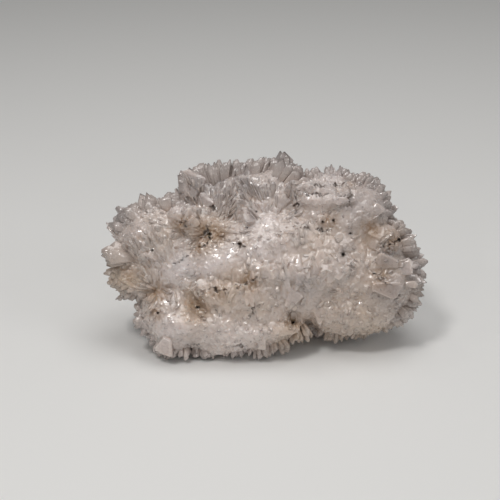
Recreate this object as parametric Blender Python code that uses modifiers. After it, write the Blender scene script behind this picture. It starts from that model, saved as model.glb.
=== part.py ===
"""Barite: a free-standing cluster of bladed crystals, 133 mm wide.

A massive, banded middle carries radiating fans of thin tabular crystals. The cluster leans back on a
flat broken base. It grew as one piece, so it is one solid.

The shapes are placed in the frame of the specimen's good face: u runs right along the face, v up the face
and w out of it, in millimetres. STAND tips that frame up onto the base.
"""

import math
import random
from collections import namedtuple

import bmesh
import bpy
from mathutils import Matrix, Vector

MM = 0.001
LEAN_BACK = math.radians(25)
STAND = Matrix.Rotation(math.radians(90) - LEAN_BACK, 4, "X")
BASE_HEIGHT = -41.0  # where the cluster is cut off level, in millimetres below the middle of its face
SEED = 11

# The middle of the cluster: overlapping lumps, as centre (u, v, w), radii along them, and a turn in the face.
Lump = namedtuple("Lump", "name u v w ru rv rw turn")
LUMPS = (
    Lump("middle", 2, -3, -12, 50, 25, 20, 0),
    Lump("left_shoulder", -44, 8, -8, 17, 14, 14, 0),
    Lump("left_flank", -51, -6, -12, 13, 11, 13, 0),
    Lump("left_foot", -38, -24, -10, 15, 16, 14, 0),
    Lump("front_foot", -13, -32, -9, 25, 10, 13, 0),
    Lump("right_flank", 45, -10, -14, 19, 17, 18, 0),
    Lump("right_upper", 50, 5, -12, 10, 9, 12, 0),
    Lump("right_shoulder", 34, 17, -16, 18, 16, 15, 0),
    Lump("crown", 3, 23, -17, 16, 16, 13, 0),
    Lump("left_crown", -20, 22, -20, 13, 13, 10, 0),
    Lump("back_left", -22, 4, -32, 22, 20, 15, 20),
    Lump("back_right", 26, 0, -34, 20, 17, 15, -25),
    Lump("back_top", 8, 20, -32, 14, 9, 14, 10),
    Lump("heel", 2, -22, -35, 36, 16, 18, 0),
)
# The level bands and the crests that cross the face, as long narrow lumps.
BANDS = (
    Lump("foot_crest", -28, -26, 1, 22, 3.0, 7, -4),
    Lump("front_crest", 0, -31, -2, 15, 3.0, 8, 6),
    Lump("belly_band", -3, -17, 2.5, 20, 2.6, 7, -7),
    Lump("low_right_band", 27, -20, 1, 18, 3.0, 8, 8),
    Lump("middle_band", -14, -6, 3.5, 15, 2.4, 6, 7),
    Lump("long_band", 22, -6, 3.5, 20, 2.4, 7, 3),
    Lump("upper_band", 10, 4, 2.5, 18, 2.4, 7, -6),
    Lump("third_band", 29, 11, -1.5, 16, 2.4, 8, 6),
    Lump("top_band", 26, 25, -7, 15, 3.4, 8, -4),
    Lump("left_crest", -33, 10, -1, 3.0, 11, 8, -28),
    Lump("shoulder_crest", -50, 8, -2, 3.2, 12, 7, 42),
    Lump("crown_crest", -8, 17, -4, 3.0, 13, 8, 24),
    Lump("back_band_left", -24, 12, -43, 15, 3.2, 6, 15),
    Lump("back_band_low_left", -22, -5, -43, 15, 3.2, 6, -10),
    Lump("back_band_right", 28, 9, -45, 14, 3.2, 6, -20),
    Lump("back_band_low_right", 24, -8, -46, 16, 3.2, 6, 12),
)

# A fan of crystals. Its tips lie about (u, v, w). heading is its direction in the face, 0 along u and 90
# along v, and toward tips it out of the face. The crystals turn through spread degrees and stand pitch
# millimetres apart. roll turns the blades from flat in the face (0) to edge-on (90), and tip is how far
# their ends narrow, as a share of the width.
Fan = namedtuple(
    "Fan", "name u v w heading toward reach spread pitch count width thick roll tip"
)
CROWN_FANS = (
    Fan("left_plate", -31.3, 37.8, -14, 110, -5, 15.5, 50, 0.2, 4, 5.2, 1.8, 12, 0.28),
    Fan("left_plate_back", -35.3, 32.0, -18, 145, -5, 12.0, 20, 0.0, 2, 4.4, 1.8, 10, 0.3),
    Fan("gap_plates", -31.5, 26.5, -14, 115, 0, 9.0, 30, 1.2, 2, 4.5, 2.0, 15, 0.2),
    Fan("needles", -18.2, 40.3, -12, 92, 0, 15.0, 26, 0.8, 4, 2.7, 1.9, 48, 0.3),
    Fan("mid_crown", -6.5, 41.6, -12, 90, 0, 16.5, 26, 0.9, 3, 4.2, 1.9, 26, 0.3),
    Fan("small_crown", 1.0, 41.8, -13, 85, 0, 15.0, 16, 0.6, 2, 3.2, 1.8, 38, 0.3),
    Fan("peak", 7.3, 44.5, -15, 92, 0, 17.0, 0, 0.0, 1, 6.2, 2.2, 8, 0.45),
    Fan("peak_fan", 15.1, 37.5, -8, 45, 4, 17.5, 48, 0.2, 4, 5.6, 2.0, 15, 0.3),
    Fan("comb", 18.6, 37.2, -12, 100, 0, 9.5, 18, 1.0, 2, 2.8, 1.8, 52, 0.25),
    Fan("right_comb", 28.2, 38.2, -13, 90, 0, 15.0, 38, 0.8, 5, 3.2, 1.9, 42, 0.3),
    Fan("right_crown", 39.0, 34.8, -12, 72, 0, 15.5, 26, 0.9, 3, 3.5, 2.0, 30, 0.3),
    Fan("corner", 47.3, 32.1, -11, 54, 0, 15.5, 32, 0.6, 3, 4.3, 2.2, 20, 0.3),
    Fan("below_corner", 52.5, 21.1, -10, 25, 2, 14.0, 34, 0.6, 3, 3.8, 2.0, 24, 0.3),
)
RIGHT_FANS = (
    Fan("right_steps", 58.0, 13.6, -9, 38, 0, 13.0, 18, 0.8, 2, 4.6, 2.0, 20, 0.3),
    Fan("right_point", 62.3, 6.7, -8, 15, 4, 15.0, 16, 0.0, 2, 5.2, 2.0, 10, 0.42),
    Fan("right_small", 65.4, 0.2, -12, 12, 0, 12.0, 18, 0.4, 2, 3.6, 1.8, 30, 0.3),
    Fan("far_right", 66.5, -4.8, -9, -4, 0, 15.0, 14, 0.4, 2, 4.2, 2.0, 15, 0.3),
    Fan("right_spike", 64.8, -10.7, -6, -14, 4, 14.0, 0, 0.0, 1, 5.6, 2.2, 12, 0.44),
    Fan("right_blocks", 64.4, -15.3, -8, -20, 0, 13.0, 16, 0.5, 2, 4.0, 2.4, 30, 0.2),
    Fan("right_low", 62.0, -21.7, -9, -34, 0, 13.0, 24, 0.5, 3, 4.0, 2.0, 30, 0.3),
    Fan("right_under", 57.6, -27.2, -10, -52, 0, 12.0, 24, 0.5, 3, 4.2, 2.0, 25, 0.3),
    Fan("right_hem", 50.8, -30.3, -12, -78, 0, 12.0, 36, 0.8, 4, 4.2, 2.0, 25, 0.3),
)
BOTTOM_FANS = (
    Fan("hem_lobe", 38.2, -34.1, -16, -82, 0, 9.5, 30, 1.2, 3, 4.2, 2.0, 20, 0.3),
    Fan("hem_point", 27.8, -35.2, -16, -98, 0, 10.5, 36, 1.2, 3, 5.0, 2.0, 20, 0.36),
    Fan("hem_step", 14.0, -35.4, -8, -80, 0, 10.0, 30, 1.2, 3, 4.4, 2.0, 20, 0.3),
    Fan("hem_slope", 5.8, -40.6, -4, -72, 0, 11.0, 28, 1.0, 3, 4.2, 2.0, 25, 0.3),
    Fan("hem_tooth", -3.1, -41.2, -2, -90, 0, 9.0, 22, 0.8, 2, 3.8, 2.0, 20, 0.34),
    Fan("front_hem", -14.0, -41.0, -3, -92, 0, 9.0, 32, 1.6, 3, 4.4, 2.0, 22, 0.25),
    Fan("left_hem", -25.7, -41.4, -3, -94, 0, 9.0, 26, 1.2, 3, 4.6, 2.0, 22, 0.3),
    Fan("lowest", -35.3, -43.4, -3, -98, 0, 13.0, 28, 0.6, 3, 5.0, 2.0, 10, 0.36),
    Fan("flat_corner", -42.9, -40.4, -5, -112, 0, 12.5, 16, 0.6, 2, 7.0, 2.4, 5, 0.2),
)
LEFT_FANS = (
    Fan("left_saw", -48.5, -34.1, -8, -140, 0, 13.0, 26, 1.2, 2, 4.2, 2.0, 25, 0.3),
    Fan("left_spur", -53.8, -27.2, -6, -168, 0, 14.0, 14, 0.5, 2, 4.4, 2.0, 15, 0.36),
    Fan("left_notch", -54.1, -21.5, -10, 176, 0, 12.0, 18, 0.6, 2, 4.0, 1.9, 30, 0.3),
    Fan("flank_hem", -58.8, -15.1, -7, -130, 0, 14.0, 42, 0.8, 3, 4.2, 1.9, 20, 0.3),
    Fan("flank_saw", -65.8, -6.5, -9, -172, 0, 15.0, 32, 0.8, 3, 3.6, 1.8, 34, 0.3),
    Fan("far_left", -66.2, 1.4, -3, 176, 4, 18.0, 12, 0.4, 2, 6.2, 2.0, 8, 0.34),
    Fan("above_flank", -59.8, 5.9, -6, 150, 0, 13.0, 20, 0.5, 2, 4.2, 1.8, 25, 0.3),
    Fan("shoulder_steps", -59.0, 11.7, -11, 182, 0, 12.0, 22, 0.8, 3, 3.2, 1.8, 32, 0.3),
    Fan("shoulder_blade", -62.8, 16.6, -6, 160, 0, 18.0, 14, 0.3, 2, 4.2, 1.9, 8, 0.18),
    Fan("shoulder_fan", -58.3, 20.4, -6, 140, 0, 18.0, 14, 0.3, 2, 5.0, 1.9, 12, 0.22),
    Fan("shoulder_comb", -53.7, 22.3, -7, 124, 0, 16.0, 12, 0.5, 2, 4.0, 1.8, 30, 0.3),
    Fan("shoulder_point", -49.5, 26.1, -6, 112, 0, 17.0, 14, 0.3, 2, 4.4, 2.0, 12, 0.42),
    Fan("shoulder_saw", -45.4, 24.0, -8, 98, 0, 13.0, 20, 0.8, 3, 3.2, 1.8, 40, 0.3),
    Fan("shoulder_slab", -38.2, 27.2, -4, 92, 0, 12.0, 8, 1.4, 2, 4.8, 1.9, 10, 0.12),
    Fan("shoulder_end", -30.7, 22.4, -1, 70, 5, 9.5, 40, 0.7, 3, 3.8, 1.9, 20, 0.3),
)
# A ring of crystals that stand out of the body round (u, v), between two directions in the face. They lean
# lean degrees out of the face and turn their flat sides to its middle. Rings behind are on the hidden back.
Ring = namedtuple("Ring", "name u v radius start end count lean width thick stand behind")
RINGS = (
    Ring("shoulder_outer", -44, 7, 12.5, 20, 215, 7, 32, 5.0, 2.0, 6.0, False),
    Ring("shoulder_middle", -44, 7, 7.5, 0, 230, 5, 48, 4.6, 2.0, 5.5, False),
    Ring("shoulder_inner", -44, 7, 2.5, 60, 200, 2, 65, 4.4, 1.9, 4.5, False),
    Ring("flank_outer", -49, -5, 9.0, 130, 265, 5, 35, 4.6, 2.0, 5.0, False),
    Ring("flank_inner", -49, -5, 4.0, 130, 265, 3, 55, 4.4, 1.9, 4.5, False),
    Ring("left_crown_outer", -19, 22, 9.0, 60, 150, 4, 30, 5.2, 2.0, 6.0, False),
    Ring("left_crown_inner", -19, 22, 3.5, 40, 170, 3, 50, 4.6, 1.9, 5.0, False),
    Ring("crown_outer", 4, 17, 16.0, 25, 135, 6, 30, 5.2, 2.0, 6.5, False),
    Ring("crown_middle", 4, 17, 10.5, 10, 150, 5, 42, 5.0, 2.0, 6.0, False),
    Ring("crown_inner", 4, 17, 5.0, 0, 170, 4, 58, 4.6, 1.9, 5.0, False),
    Ring("right_shoulder_outer", 36, 16, 14.0, 10, 110, 5, 30, 6.0, 2.4, 5.0, False),
    Ring("right_shoulder_inner", 36, 16, 8.0, 0, 100, 3, 45, 6.0, 2.2, 4.5, False),
    Ring("right_flank_outer", 48, -6, 12.0, -60, 55, 6, 32, 6.2, 2.2, 5.5, False),
    Ring("right_flank_inner", 48, -6, 6.0, -60, 60, 3, 50, 6.2, 2.2, 5.0, False),
    Ring("left_foot_outer", -38, -24, 12.0, 165, 290, 5, 35, 5.4, 2.2, 4.5, False),
    Ring("front_foot", -8, -18, 17.0, 240, 305, 4, 40, 5.4, 2.2, 4.0, False),
    Ring("back_left_outer", -28, 4, 17.0, 80, 190, 5, 30, 7.5, 2.6, 7.0, True),
    Ring("back_left_inner", -28, 4, 9.0, 70, 210, 4, 50, 7.0, 2.6, 6.5, True),
    Ring("back_right_outer", 32, 2, 17.0, -50, 60, 5, 30, 7.5, 2.6, 7.0, True),
    Ring("back_right_inner", 32, 2, 9.0, -60, 80, 4, 50, 7.0, 2.6, 6.5, True),
    Ring("back_top_outer", 6, 12, 15.0, 50, 130, 4, 30, 7.0, 2.6, 7.0, True),
    Ring("back_top_inner", 6, 12, 8.0, 40, 140, 3, 50, 7.0, 2.6, 6.5, True),
    Ring("back_low", 0, -2, 12.0, 220, 320, 4, 45, 7.5, 2.6, 6.5, True),
)

# Pits in the face, as (u, v, width). Each is a small open hole between crystals.
PITS = (
    (-34.0, 14.2, 1.8),
    (-24.2, 8.4, 2.8),
    (-7.5, 4.8, 1.8),
    (-5.6, -21.8, 1.8),
    (11.0, -25.8, 2.0),
    (54.0, 7.4, 2.2),
    (30.8, 1.4, 1.6),
    (-43.2, -20.0, 1.6),
)
PIT_DEPTH = 3.5

CORE_VOXEL = 1.5
CORE_TRIANGLES = 2300
ROOT_IN = 1.5
ROOT_NARROWING = 0.35


def clear_scene():
    for obj in list(bpy.data.objects):
        bpy.data.objects.remove(obj)


def new_collection(name):
    made = bpy.data.collections.new(name)
    bpy.context.scene.collection.children.link(made)
    return made


def barite_material():
    """Milky barite: white with a warm cast, softly shining."""
    material = bpy.data.materials.new("milky_barite")
    material.use_nodes = True
    shader = material.node_tree.nodes["Principled BSDF"]
    shader.inputs["Base Color"].default_value = (0.66, 0.60, 0.56, 1)
    shader.inputs["Roughness"].default_value = 0.4
    shader.inputs["Metallic"].default_value = 0.0
    material.diffuse_color = (0.83, 0.80, 0.77, 1)
    return material


def place_object(name, mesh, collection, rig, helper=True):
    """Adds an object in the face frame. Helpers stay out of renders."""
    obj = bpy.data.objects.new(name, mesh)
    obj.parent = rig
    obj.hide_render = helper
    if helper:
        obj.display_type = "WIRE"
    collection.objects.link(obj)
    return obj


def mesh_from(bm, name):
    mesh = bpy.data.meshes.new(name)
    bm.to_mesh(mesh)
    bm.free()
    return mesh


def blade_mesh(name, width, thick, length, tip):
    """A tabular crystal along +Z from the origin, narrow at the root, with bevels that meet in a sharp end."""
    top = length * MM
    slope = tip * width * MM
    bm = bmesh.new()
    bmesh.ops.create_cube(bm, size=1)
    bmesh.ops.scale(bm, vec=(width * MM, thick * MM, top), verts=bm.verts)
    bmesh.ops.translate(bm, vec=(0, 0, top / 2), verts=bm.verts)
    bmesh.ops.bisect_plane(
        bm,
        geom=bm.verts[:] + bm.edges[:] + bm.faces[:],
        plane_co=(0, 0, top - slope),
        plane_no=(0, 0, 1),
        dist=1e-7,
    )
    for vert in bm.verts:
        if vert.co.z > top - 0.5 * slope:
            vert.co.x -= math.copysign(slope, vert.co.x)
            vert.co.y = 0
        elif vert.co.z < 0.5 * slope:
            vert.co.x *= ROOT_NARROWING
    bmesh.ops.remove_doubles(bm, verts=bm.verts, dist=1e-6)
    return mesh_from(bm, name)


def blade_place(tip_end, along, across, length):
    """The matrix that puts a blade's end at tip_end, with its length along and its width across."""
    z = along.normalized()
    x = (across - across.dot(z) * z).normalized()
    y = z.cross(x)
    turn = Matrix((x, y, z)).transposed().to_4x4()
    return Matrix.Translation((tip_end - z * length) * MM) @ turn


def fan_axes(fan):
    """A fan's own directions in the face frame: along it, across it in the face, and out of its plane."""
    heading = math.radians(fan.heading)
    toward = math.radians(fan.toward)
    flat = Vector((math.cos(heading), math.sin(heading), 0))
    along = flat * math.cos(toward) + Vector((0, 0, math.sin(toward)))
    across = Vector((math.sin(heading), -math.cos(heading), 0))
    return along, across, across.cross(along)


def add_fan(fan, collection, rig, dice):
    """Adds a fan's crystals, each a little off the fan's rule as grown crystals are."""
    along, across, normal = fan_axes(fan)
    root = Vector((fan.u, fan.v, fan.w)) - along * fan.reach
    for k in range(fan.count):
        share = k / (fan.count - 1) - 0.5 if fan.count > 1 else 0.0
        turn = Matrix.Rotation(math.radians(-share * fan.spread), 3, normal)
        side = turn @ across
        way = Matrix.Rotation(math.radians(dice.uniform(-5, 5)), 3, side) @ turn @ along
        reach = fan.reach * dice.uniform(0.94, 1.04)
        end = root + side * (share * (fan.count - 1) * fan.pitch) + way * reach
        side = Matrix.Rotation(math.radians(fan.roll + dice.uniform(-8, 8)), 3, way) @ side
        width = fan.width * dice.uniform(0.88, 1.12)
        thick = fan.thick * dice.uniform(0.9, 1.1)
        tip = min(0.46, fan.tip * dice.uniform(0.85, 1.15))
        length = reach + ROOT_IN
        mesh = blade_mesh(f"{fan.name}_{k}", width, thick, length, tip)
        blade = place_object(mesh.name, mesh, collection, rig)
        blade.matrix_local = blade_place(end, way, side, length)


def add_relief(core, name, grain, height, stretch, rig, collection):
    """Raises and sinks the surface by cloud relief of that grain and height, drawn out by stretch."""
    texture = bpy.data.textures.new(name, "CLOUDS")
    texture.noise_scale = grain * MM
    texture.noise_depth = 1
    guide = place_object(f"{name}_guide", None, collection, rig)
    guide.scale = stretch
    relief = core.modifiers.new(name, "DISPLACE")
    relief.texture = texture
    relief.texture_coords = "OBJECT"
    relief.texture_coords_object = guide
    relief.strength = height * MM
    relief.mid_level = 0.5


def add_core(helpers, rig):
    """The middle as one rough lump: rounded lumps fused together, then roughened by two scales of relief."""
    bm = bmesh.new()
    for lump in LUMPS + BANDS:
        made = bmesh.ops.create_icosphere(bm, subdivisions=4, radius=MM)["verts"]
        bmesh.ops.scale(bm, vec=(lump.ru, lump.rv, lump.rw), verts=made)
        bmesh.ops.rotate(bm, matrix=Matrix.Rotation(math.radians(lump.turn), 3, "Z"), verts=made)
        bmesh.ops.translate(bm, vec=Vector((lump.u, lump.v, lump.w)) * MM, verts=made)
    core = place_object("massive_core", mesh_from(bm, "massive_core"), helpers, rig)
    fuse = core.modifiers.new("fuse lumps", "REMESH")
    fuse.mode = "VOXEL"
    fuse.voxel_size = CORE_VOXEL * MM
    blend = core.modifiers.new("blend lumps", "SMOOTH")
    blend.iterations = 5
    add_relief(core, "swells", 12.0, 4.5, (1.0, 1.0, 1.0), rig, helpers)
    add_relief(core, "ledges", 4.5, 3.8, (2.0, 1.0, 1.4), rig, helpers)
    coarsen(core)
    return core


def evaluated(obj):
    bpy.context.view_layer.update()
    return obj.evaluated_get(bpy.context.evaluated_depsgraph_get())


def coarsen(core):
    """Turns the fine surface into flat facets, within the triangles that the middle may have."""
    count = sum(len(p.vertices) - 2 for p in evaluated(core).data.polygons)
    facets = core.modifiers.new("facets", "DECIMATE")
    facets.ratio = CORE_TRIANGLES / count
    facets.use_collapse_triangulate = True


def surface_point(surface, u, v, behind):
    """The point of the core's surface at (u, v), seen from the front or from behind, or None."""
    side = -1 if behind else 1
    hit, place, _, _ = surface.ray_cast(Vector((u, v, 90 * side)) * MM, Vector((0, 0, -side)), distance=0.2)
    return place / MM if hit else None


def ring_fans(surface, dice):
    """The rings' crystals, each as a fan of one, standing on the core's surface."""
    fans = []
    for ring in RINGS:
        for k in range(ring.count):
            share = k / (ring.count - 1)
            heading = ring.start + share * (ring.end - ring.start) + dice.uniform(-6, 6)
            flat = Vector((math.cos(math.radians(heading)), math.sin(math.radians(heading)), 0))
            spot = Vector((ring.u, ring.v, 0)) + flat * ring.radius * dice.uniform(0.9, 1.1)
            foot = surface_point(surface, spot.x, spot.y, ring.behind)
            if foot is None:
                continue
            toward = ring.lean + dice.uniform(-6, 6)
            if ring.behind:
                toward = -toward
            rise = Vector((0, 0, math.sin(math.radians(toward))))
            end = foot + (flat * math.cos(math.radians(toward)) + rise) * ring.stand
            fans.append(
                Fan(f"{ring.name}_{k}", *end, heading, toward, ring.stand + 4, 0, 0, 1,
                    ring.width, ring.thick, dice.uniform(-30, 30), 0.34)
            )
    return tuple(fans)


def add_pits(surface, collection, rig):
    """Open holes in the face: narrow cones that go in from the surface."""
    for k, (u, v, width) in enumerate(PITS):
        foot = surface_point(surface, u, v, behind=False)
        bm = bmesh.new()
        bmesh.ops.create_cone(
            bm,
            cap_ends=True,
            segments=5,
            radius1=0.15 * width * MM,
            radius2=width * MM,
            depth=3 * PIT_DEPTH * MM,
        )
        pit = place_object(f"pit_{k}", mesh_from(bm, f"pit_{k}"), collection, rig)
        pit.matrix_local = Matrix.Translation((foot + Vector((0, 0, 0.5 * PIT_DEPTH))) * MM)


def add_floor_cut(collection):
    """A level block below the base height. It leaves the flat broken face that the cluster rests on."""
    bm = bmesh.new()
    bmesh.ops.create_cube(bm, size=0.3)
    bmesh.ops.translate(bm, vec=(0, 0, BASE_HEIGHT * MM - 0.15), verts=bm.verts)
    block = bpy.data.objects.new("floor_cut", mesh_from(bm, "floor_cut"))
    block.hide_render = True
    block.display_type = "WIRE"
    collection.objects.link(block)


def add_boolean(obj, name, operation, operands):
    """Joins obj with a whole collection, or cuts it by one."""
    step = obj.modifiers.new(name, "BOOLEAN")
    step.operation = operation
    step.solver = "EXACT"
    step.operand_type = "COLLECTION"
    step.collection = operands


def shell_volume(faces):
    """The signed volume inside a set of faces, negative for a shell that faces inwards."""
    volume = 0.0
    for face in faces:
        corners = [v.co for v in face.verts]
        for b, c in zip(corners[1:], corners[2:]):
            volume += corners[0].dot(b.cross(c)) / 6
    return volume


def shells(bm):
    """The mesh's faces in connected sets."""
    left = set(bm.faces)
    while left:
        grown = [left.pop()]
        for face in grown:
            for edge in face.edges:
                near = [f for f in edge.link_faces if f in left]
                left.difference_update(near)
                grown.extend(near)
        yield grown


def keep_outer_shell(mesh):
    """Fills the sealed gaps between crossed crystals, by dropping every shell but the outer one."""
    bm = bmesh.new()
    bm.from_mesh(mesh)
    found = sorted(shells(bm), key=shell_volume)
    for inner in found[:-1]:
        bmesh.ops.delete(bm, geom=inner, context="FACES")
    bm.to_mesh(mesh)
    bm.free()


def finish_cluster(core, collection):
    """The fused solid as one object, centred over the origin with its base at zero height."""
    mesh = bpy.data.meshes.new_from_object(evaluated(core))
    mesh.transform(core.matrix_world)
    mesh.name = "barite_cluster"
    keep_outer_shell(mesh)
    low = [min(v.co[axis] for v in mesh.vertices) for axis in range(3)]
    high = [max(v.co[axis] for v in mesh.vertices) for axis in range(3)]
    mesh.transform(Matrix.Translation((-(low[0] + high[0]) / 2, -(low[1] + high[1]) / 2, -low[2])))
    mesh.materials.clear()
    mesh.materials.append(barite_material())
    collection.objects.link(bpy.data.objects.new("barite_cluster", mesh))


def main():
    clear_scene()
    cluster = new_collection("barite")
    helpers = new_collection("core")
    crystals = new_collection("crystals")
    cutters = new_collection("cutters")
    rig = bpy.data.objects.new("face_frame", None)
    rig.hide_render = True
    rig.matrix_world = STAND
    helpers.objects.link(rig)

    dice = random.Random(SEED)
    core = add_core(helpers, rig)
    surface = evaluated(core)
    add_pits(surface, cutters, rig)
    add_floor_cut(cutters)
    fans = CROWN_FANS + RIGHT_FANS + BOTTOM_FANS + LEFT_FANS + ring_fans(surface, dice)
    for fan in fans:
        add_fan(fan, crystals, rig, dice)
    add_boolean(core, "crystals", "UNION", crystals)
    add_boolean(core, "pits and floor", "DIFFERENCE", cutters)
    finish_cluster(core, cluster)


main()
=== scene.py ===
"""Looks of the barite cluster: a massive white middle under thousands of thin tabular crystals.

Crystals are modelled once each and repeated in joined meshes. Places are given in the frame of the good
face, in millimetres: u runs right along the face, v up the face and w out of it.
"""

import math
import random
from collections import namedtuple

import bmesh
import bpy
import numpy as np
from mathutils import Matrix, Vector
from mathutils.bvhtree import BVHTree
from mathutils.geometry import intersect_point_line


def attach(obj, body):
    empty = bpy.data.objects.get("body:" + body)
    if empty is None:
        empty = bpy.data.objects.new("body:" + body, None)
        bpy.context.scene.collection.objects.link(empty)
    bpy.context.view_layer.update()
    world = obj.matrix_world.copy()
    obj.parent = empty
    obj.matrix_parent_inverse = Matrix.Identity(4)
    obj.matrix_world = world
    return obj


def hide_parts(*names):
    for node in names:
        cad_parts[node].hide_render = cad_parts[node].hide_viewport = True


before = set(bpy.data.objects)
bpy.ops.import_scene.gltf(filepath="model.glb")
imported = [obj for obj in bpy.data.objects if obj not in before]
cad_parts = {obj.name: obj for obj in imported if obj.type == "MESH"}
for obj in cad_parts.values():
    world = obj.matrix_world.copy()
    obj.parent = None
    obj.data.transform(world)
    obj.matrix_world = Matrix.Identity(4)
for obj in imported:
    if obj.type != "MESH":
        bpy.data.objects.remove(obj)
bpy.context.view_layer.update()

bl_info = {
    "name": "Barite cluster",
    "version": (1, 0, 0),
    "blender": (4, 5, 0),
    "location": "View3D > Sidebar > Barite",
    "description": "Models a cluster of bladed barite crystals and its studio stage",
    "category": "Add Mesh",
}

NODE = "barite_cluster"
MM = 0.001
LEAN_BACK = math.radians(25)
# Where the middle of the good face lies in the row frame, in metres.
FACE_MIDDLE = Vector((-0.000114, -0.017453, 0.041))
FACE_TO_ROW = Matrix.Translation(FACE_MIDDLE) @ Matrix.Rotation(math.radians(90) - LEAN_BACK, 4, "X")

# The rounded lumps of the massive middle: where their middle lies, their radii and their turn in the face.
Lump = namedtuple("Lump", "u v w ru rv rw turn", defaults=(0,))
LUMPS = (
    Lump(2, -3, -13, 48, 24, 20),  # middle
    Lump(-43, 8, -9, 16, 13.5, 14),  # left shoulder
    Lump(-50, -6, -13, 12.5, 10.5, 13),  # left flank
    Lump(-37, -24, -10, 14, 14.5, 14),  # left foot
    Lump(-14, -28, -9, 26, 11, 13.5),  # front foot
    Lump(45, -10, -13, 17.5, 15.5, 17),  # right flank
    Lump(48, 5, -12, 9, 9, 13),  # right upper
    Lump(35, 16, -15, 17, 16, 16),  # right shoulder
    Lump(35, -22, -12, 19, 10, 12),  # right hem
    Lump(3, 22, -16, 16, 16, 13),  # crown
    Lump(-19, 21, -18, 13, 13, 12),  # left crown
    Lump(-22, 4, -32, 22, 20, 15, 20),  # back left
    Lump(26, 0, -34, 20, 17, 15, -25),  # back right
    Lump(8, 20, -32, 14, 9, 14, 10),  # back top
    Lump(2, -22, -35, 36, 16, 18),  # heel
    Lump(-8, -21, -8, 26, 12, 12.5),  # low fill
    Lump(31, -7, -12, 20, 16, 16.5),  # right fill
    Lump(32, -19, -12, 20, 11, 13.5),  # right low fill
    Lump(22, 15, -15, 18, 13, 16),  # upper fill
    Lump(-32, -3, -10, 18, 14, 13.5),  # left fill
    Lump(-27, 11, -12, 13, 12, 12.5),  # shoulder fill
    Lump(-7, 27, -15, 22, 8.5, 10, 4),  # crown fill
    Lump(-27, 26, -16, 9, 8, 8),  # left plate fill
    Lump(30, 27, -15, 19, 7, 10, -6),  # comb fill
    Lump(-52, 12, -12, 11, 10, 10),  # left edge fill
    Lump(-30, -27, 0, 18, 3.5, 5, -6),  # foot crest
    Lump(-2, -30, -1, 16, 3.5, 5, 6),  # front crest
    Lump(-12, -15, 2.5, 17, 6, 5, -4),  # belly swell
    Lump(14, -5, 2.5, 24, 6, 6, 4),  # middle swell
    Lump(24, 22.5, -3.5, 13, 3.6, 6, -3),  # upper slab
    Lump(18, 28, -5, 10, 2.6, 6, -4),  # upper block
    Lump(-33, 15, 1, 8, 4.2, 5, -42),  # white ridge
    Lump(-8, 17, -4, 4.0, 12, 7, 24),  # crown ridge
    Lump(-24, 12, -43, 15, 3.2, 6, 15),  # back band left
    Lump(-22, -5, -43, 15, 3.2, 6, -10),  # back band low left
    Lump(28, 9, -45, 14, 3.2, 6, -20),  # back band right
    Lump(24, -8, -46, 16, 3.2, 6, 12),  # back band low right
)

# A fan of crystals round the edge of the face. Its tips lie about (u, v, w). heading is its direction in
# the face, 0 along u and 90 along v, and toward tips it out of the face. The crystals turn through spread
# degrees. roll, of which half is used, turns the blades from flat in the face toward edge-on.
Fan = namedtuple(
    "Fan", "u v w heading toward reach spread across count width thick roll point", defaults=(0,)
)
CROWN_FANS = (
    Fan(-31.3, 37.8, -14, 110, -5, 15.5, 50, 8, 7, 4.2, 1.3, 14),  # left plate
    Fan(-35.3, 32, -18, 145, -5, 12, 24, 5, 4, 3.6, 1.3, 10),  # left plate back
    Fan(-31.5, 26.5, -14, 115, 0, 9, 34, 6, 4, 4, 1.3, 15),  # gap plates
    Fan(-18.2, 40.3, -12, 92, 0, 15, 30, 8, 10, 1.9, 1.2, 60),  # needles
    Fan(-6.5, 41.6, -12, 90, 0, 16.5, 30, 8, 8, 2.8, 1.2, 34),  # mid crown
    Fan(1, 41.8, -13, 85, 0, 15, 18, 4, 5, 2.4, 1.2, 45),  # small crown
    Fan(7.3, 44.5, -15, 92, 0, 17, 8, 1, 2, 5.4, 1.7, 8, 1),  # peak
    Fan(15.1, 37.5, -8, 45, 4, 17.5, 52, 7, 9, 3.8, 1.3, 20),  # peak fan
    Fan(18.6, 37.2, -12, 100, 0, 9.5, 20, 5, 6, 1.8, 1.1, 62),  # comb
    Fan(28.2, 38.2, -13, 90, 0, 15, 40, 12, 14, 2.1, 1.2, 52),  # right comb
    Fan(39, 34.8, -12, 72, 0, 15.5, 28, 9, 9, 2.4, 1.3, 40),  # right crown
    Fan(47.3, 32.1, -11, 54, 0, 15.5, 34, 9, 9, 2.8, 1.5, 24),  # corner
    Fan(52.5, 21.1, -10, 25, 2, 14, 36, 9, 9, 2.6, 1.4, 28),  # below corner
)
RIGHT_FANS = (
    Fan(58, 13.6, -9, 38, 0, 13, 24, 5, 6, 3, 1.4, 20),  # right steps
    Fan(62.3, 6.7, -8, 15, 4, 15, 18, 3, 4, 4.2, 1.5, 10, 1),  # right point
    Fan(65.4, 0.2, -12, 12, 0, 12, 24, 4, 6, 2.4, 1.3, 30),  # right small
    Fan(66.5, -4.8, -9, -4, 0, 15, 18, 3, 5, 3, 1.4, 15),  # far right
    Fan(64.8, -10.7, -6, -14, 4, 14, 10, 2, 3, 4.2, 1.6, 12, 1),  # right spike
    Fan(64.4, -15.3, -8, -20, 0, 13, 20, 4, 6, 2.6, 1.6, 35),  # right blocks
    Fan(62, -21.7, -9, -34, 0, 13, 26, 7, 8, 2.6, 1.4, 30),  # right low
    Fan(57.6, -27.2, -10, -52, 0, 12, 26, 7, 8, 2.6, 1.4, 25),  # right under
    Fan(50.8, -30.3, -12, -78, 0, 12, 40, 11, 12, 2.6, 1.4, 25),  # right hem
)
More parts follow.
